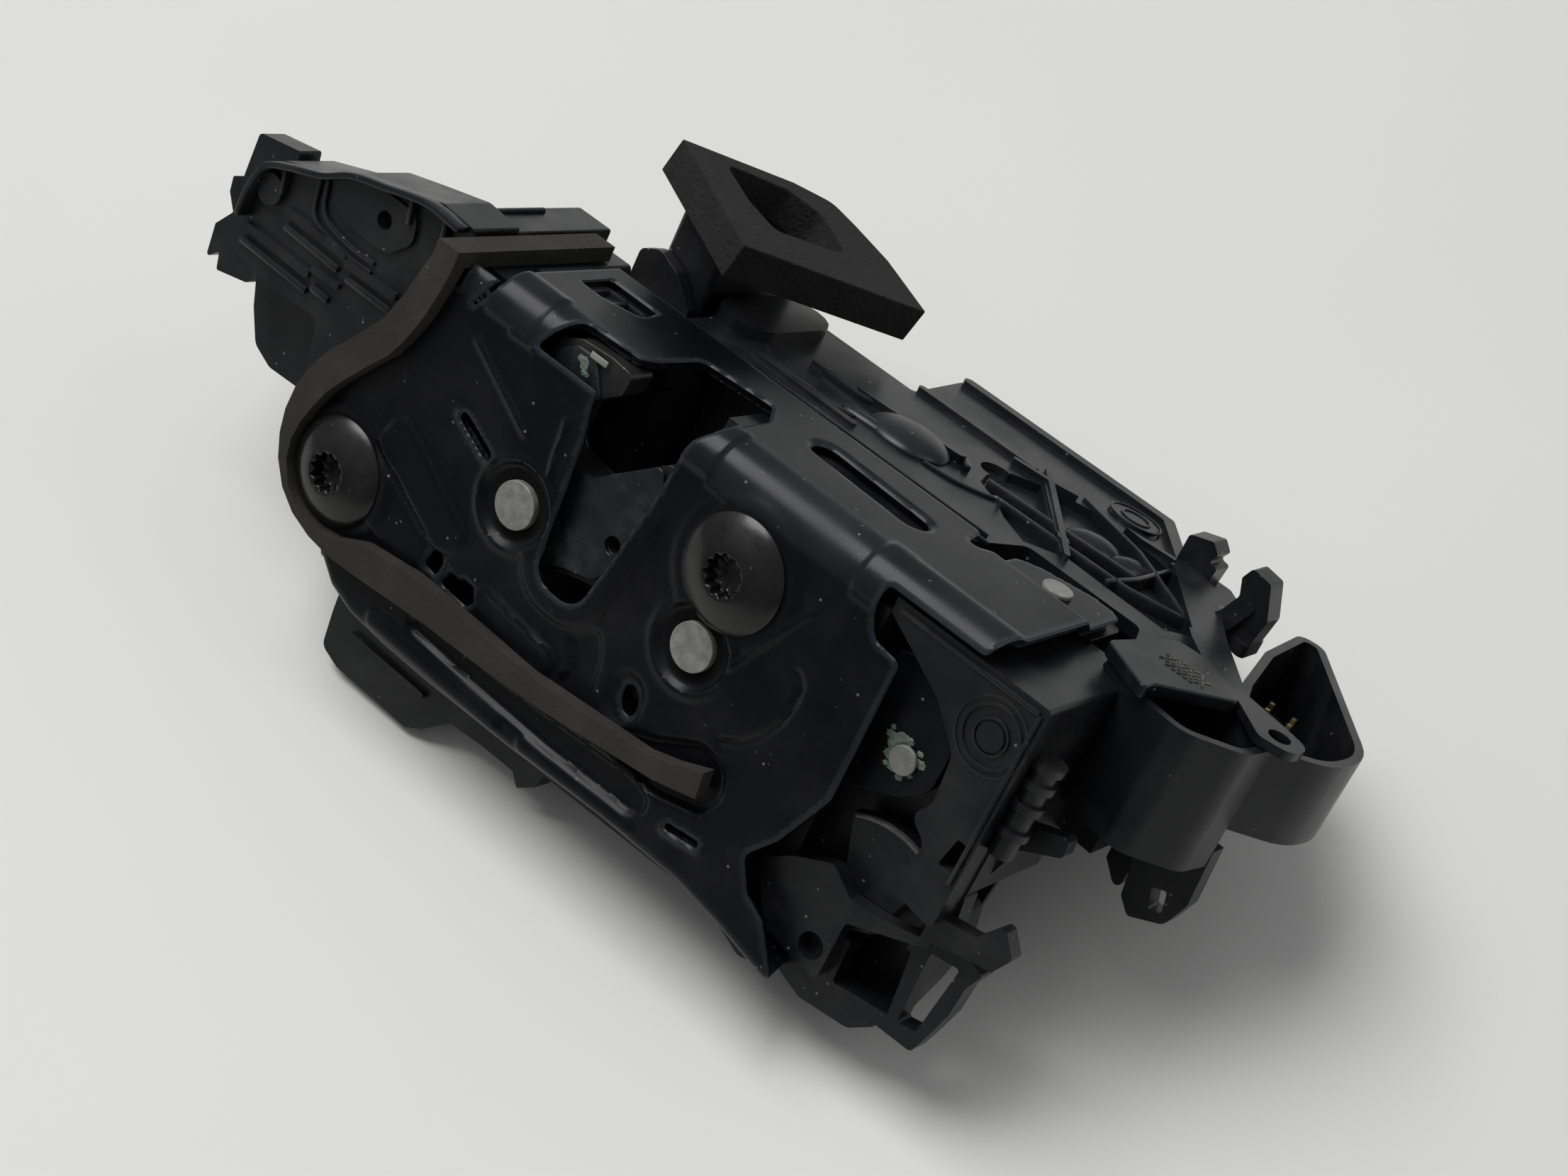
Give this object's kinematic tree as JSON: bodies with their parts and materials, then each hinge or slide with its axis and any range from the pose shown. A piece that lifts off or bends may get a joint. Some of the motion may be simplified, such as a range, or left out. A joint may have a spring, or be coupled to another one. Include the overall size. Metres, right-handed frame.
{
  "type": "car door lock",
  "caption": "Rotary car door latch: folded black steel face with striker throat, side actuator housing, foam seals, connector funnels and key column.",
  "frame": {"origin": "midway between the two door screws, on the outer face of the steel plate", "axes": "+X along the plate towards the connectors, +Y towards the folded flange where the striker enters, +Z out of the plate towards the door's end face"},
  "size_m": [0.2279, 0.1083, 0.0948],
  "materials": {
    "black_steel": "satin black coating over pressed steel",
    "zinc_steel": "dull plated steel",
    "dark_steel": "dark greased steel",
    "skin_plastic": "grey-black moulded skin",
    "black_plastic": "fine-grained black moulding",
    "buffer_rubber": "black rubber",
    "foam": "open grey foam",
    "pin_brass": "tinned brass",
    "gear_plastic": "natural moulding"
  },
  "bodies": {
    "lock_body": {"lock_plate": "black_steel", "door_screws": "black_steel", "catch_pivot": "zinc_steel", "pawl_pivot": "zinc_steel", "flange_rivet": "zinc_steel", "backing_plate": "dark_steel", "catch_spring": "zinc_steel", "pawl_spring": "zinc_steel", "striker_buffer": "buffer_rubber", "latch_housing": "black_plastic", "housing_ear": "black_plastic", "lever_bay": "black_plastic", "foam_strip": "foam", "side_housing": "black_plastic", "side_cover": "black_plastic", "cylinder_column": "black_plastic", "foam_ring": "foam", "connector_shroud": "black_plastic", "connector_block": "black_plastic", "contact_pins": "pin_brass", "shroud_cap": "black_plastic", "lever_pin": "zinc_steel", "inner_lever_pin": "zinc_steel", "lever_spring": "zinc_steel", "lock_motor": "zinc_steel", "wheel_pin": "zinc_steel", "catch_switch": "black_plastic", "lock_switch": "black_plastic", "lead_frame": "pin_brass"},
    "catch": {"catch_core": "dark_steel", "catch_cover": "skin_plastic"},
    "pawl": {"pawl_core": "dark_steel", "pawl_pad": "skin_plastic"},
    "release_lever": {"release_lever": "black_steel"},
    "inner_lever": {"inner_lever": "black_plastic"},
    "key_cam": {"key_cam": "skin_plastic"},
    "motor_pinion": {"motor_pinion": "gear_plastic"},
    "drive_wheel": {"drive_wheel": "gear_plastic"},
    "lock_slider": {"lock_slider": "gear_plastic"}
  },
  "joints": [
    {"name": "catch_turn", "type": "hinge", "parent": "lock_body", "child": "catch", "pos_m": [-0.0035, 0.0005, -0.0071], "axis": [0, 0, 1], "range_deg": [-70, 0], "stiffness_Nm_per_rad": 0.08, "springref_deg": 34.38},
    {"name": "pawl_turn", "type": "hinge", "parent": "lock_body", "child": "pawl", "pos_m": [0.0385, 0.0005, -0.0071], "axis": [0, 0, 1], "range_deg": [-26, 0]},
    {"name": "release_turn", "type": "hinge", "parent": "lock_body", "child": "release_lever", "pos_m": [0.0785, 0.006, -0.0062], "axis": [0, 0, 1], "range_deg": [0, 8], "stiffness_Nm_per_rad": 0.04, "springref_deg": -17.19},
    {"name": "inner_turn", "type": "hinge", "parent": "lock_body", "child": "inner_lever", "pos_m": [0.0823, -0.0234, -0.0096], "axis": [0, 0, 1], "range_deg": [0, 10]},
    {"name": "key_turn", "type": "hinge", "parent": "lock_body", "child": "key_cam", "pos_m": [-0.0202, 0.03, -0.061], "axis": [0, 1, 0], "range_deg": [-90, 90]},
    {"name": "wheel_spin", "type": "hinge", "parent": "lock_body", "child": "drive_wheel", "pos_m": [0.04, 0.02, -0.06], "axis": [0, 1, 0], "range_deg": [0, 58]},
    {"name": "pinion_spin", "type": "hinge", "parent": "lock_body", "child": "motor_pinion", "pos_m": [0.0192, 0.02, -0.06], "axis": [0, 1, 0], "range_deg": [-195, 0]},
    {"name": "slider_move", "type": "slide", "parent": "lock_body", "child": "lock_slider", "axis": [1, 0, 0], "range_m": [0, 0.005]}
  ],
  "couplings": [
    {"joint": "pinion_spin", "follows": "wheel_spin", "ratio": -3.3333},
    {"joint": "slider_move", "follows": "wheel_spin", "m_per_rad": 0.0048}
  ]
}
